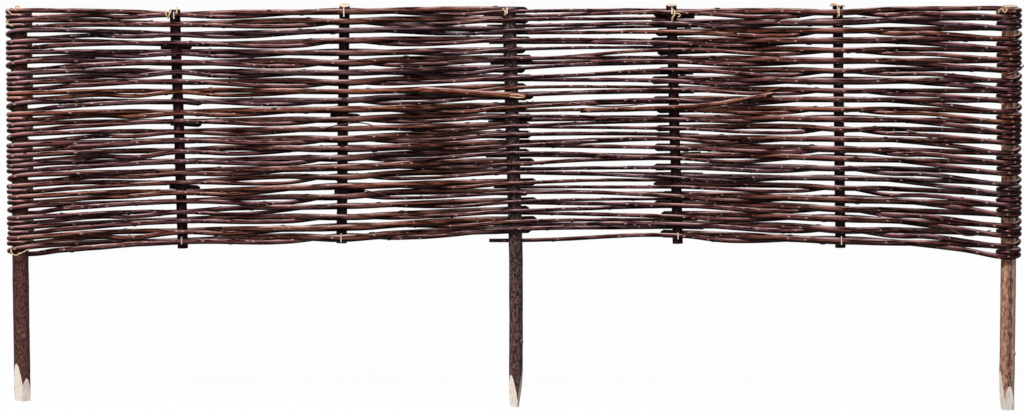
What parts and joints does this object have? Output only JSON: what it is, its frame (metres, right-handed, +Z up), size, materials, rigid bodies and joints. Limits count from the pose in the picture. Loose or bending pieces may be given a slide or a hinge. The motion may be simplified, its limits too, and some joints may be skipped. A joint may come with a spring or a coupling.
{
  "type": "willow lawn edging panel",
  "caption": "Low garden edging panel of dark willow rods woven around round wooden uprights, with pointed pegs below to push into the lawn.",
  "frame": {"origin": "on the centre peg's axis at ground level, where the lowest rods at the panel's ends meet the ground", "axes": "+X along the panel to the right seen from the front, -Y towards the viewer in front, +Z up out of the ground"},
  "size_m": [0.9971, 0.0342, 0.4011],
  "materials": {
    "willow_bark": "unpeeled dark willow bark, satin",
    "peg_stake_bark": "unpeeled bark with pale hewn points",
    "upright_bark": "unpeeled bark with sawn ends",
    "staple_wire": "bright drawn wire"
  },
  "bodies": {
    "root": {"left_peg_stake": "peg_stake_bark", "centre_peg_stake": "peg_stake_bark", "right_peg_stake": "peg_stake_bark", "upright_1": "upright_bark", "upright_2": "upright_bark", "upright_3": "upright_bark", "upright_4": "upright_bark", "left_rod_01": "willow_bark", "left_rod_02": "willow_bark", "left_rod_03": "willow_bark", "left_rod_04": "willow_bark", "left_rod_05": "willow_bark", "left_rod_06": "willow_bark", "left_rod_07": "willow_bark", "left_rod_08": "willow_bark", "left_rod_09": "willow_bark", "left_rod_10": "willow_bark", "left_rod_11": "willow_bark", "left_rod_12": "willow_bark", "left_rod_13": "willow_bark", "left_rod_14": "willow_bark", "left_rod_15": "willow_bark", "left_rod_16": "willow_bark", "left_rod_17": "willow_bark", "left_rod_18": "willow_bark", "left_rod_19": "willow_bark", "left_rod_20": "willow_bark", "left_rod_21": "willow_bark", "left_rod_22": "willow_bark", "left_rod_23": "willow_bark", "left_rod_24": "willow_bark", "right_rod_01": "willow_bark", "right_rod_02": "willow_bark", "right_rod_03": "willow_bark", "right_rod_04": "willow_bark", "right_rod_05": "willow_bark", "right_rod_06": "willow_bark", "right_rod_07": "willow_bark", "right_rod_08": "willow_bark", "right_rod_09": "willow_bark", "right_rod_10": "willow_bark", "right_rod_11": "willow_bark", "right_rod_12": "willow_bark", "right_rod_13": "willow_bark", "right_rod_14": "willow_bark", "right_rod_15": "willow_bark", "right_rod_16": "willow_bark", "right_rod_17": "willow_bark", "right_rod_18": "willow_bark", "right_rod_19": "willow_bark", "right_rod_20": "willow_bark", "right_rod_21": "willow_bark", "right_rod_22": "willow_bark", "right_rod_23": "willow_bark", "right_rod_24": "willow_bark", "staples": "staple_wire"}
  },
  "joints": []
}
